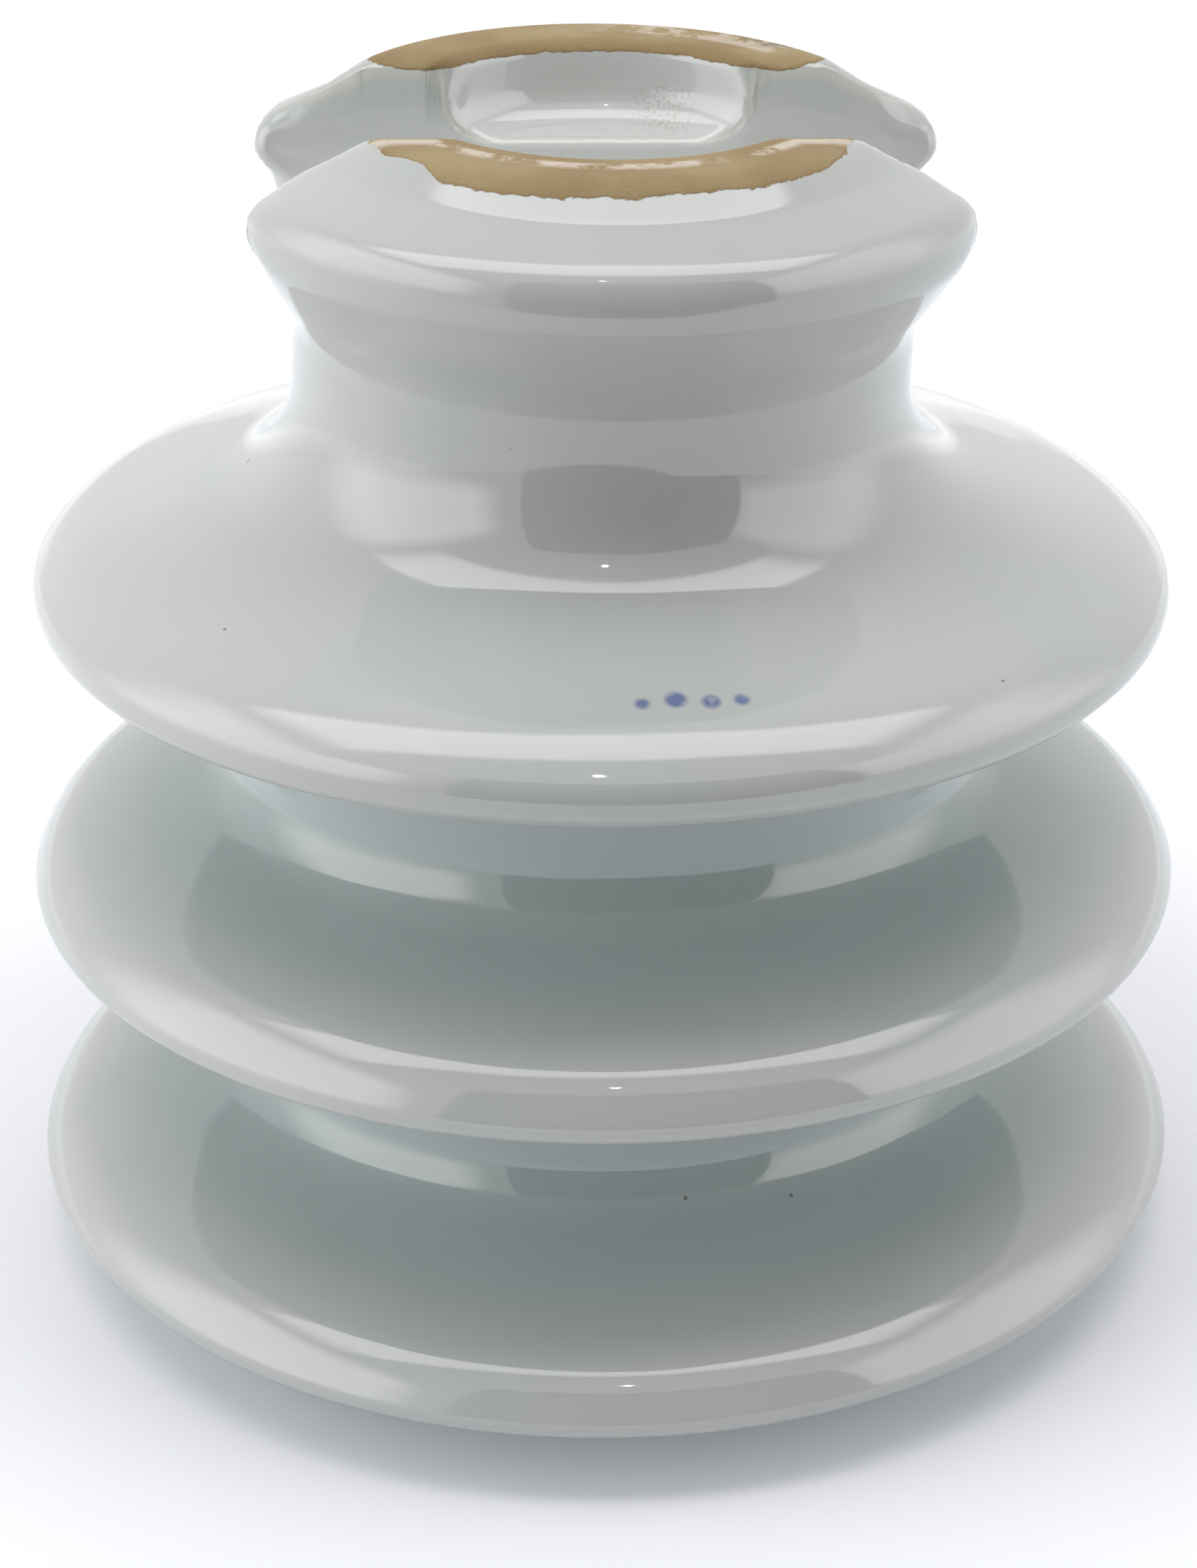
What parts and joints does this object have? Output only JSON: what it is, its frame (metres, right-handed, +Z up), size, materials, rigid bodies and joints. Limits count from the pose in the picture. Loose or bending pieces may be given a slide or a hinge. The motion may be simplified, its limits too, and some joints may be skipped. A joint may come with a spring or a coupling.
{
  "type": "line pin insulator",
  "caption": "Glazed porcelain pin insulator with stacked sheds, a neck groove for the tie wire and a conductor channel across the head.",
  "frame": {"origin": "Centre of the foot ring's face, on the body's axis, at the bottom of the bounding box.", "axes": "+Z up along the body's axis, from the foot to the head; +X along the conductor channel; +Y across it."},
  "size_m": [0.1856, 0.1856, 0.1832],
  "materials": {
    "glazed_porcelain": "pale grey glaze, high gloss; bare buff body on the ring on top of the head"
  },
  "bodies": {
    "root": {"porcelain_body": "glazed_porcelain"}
  },
  "joints": []
}
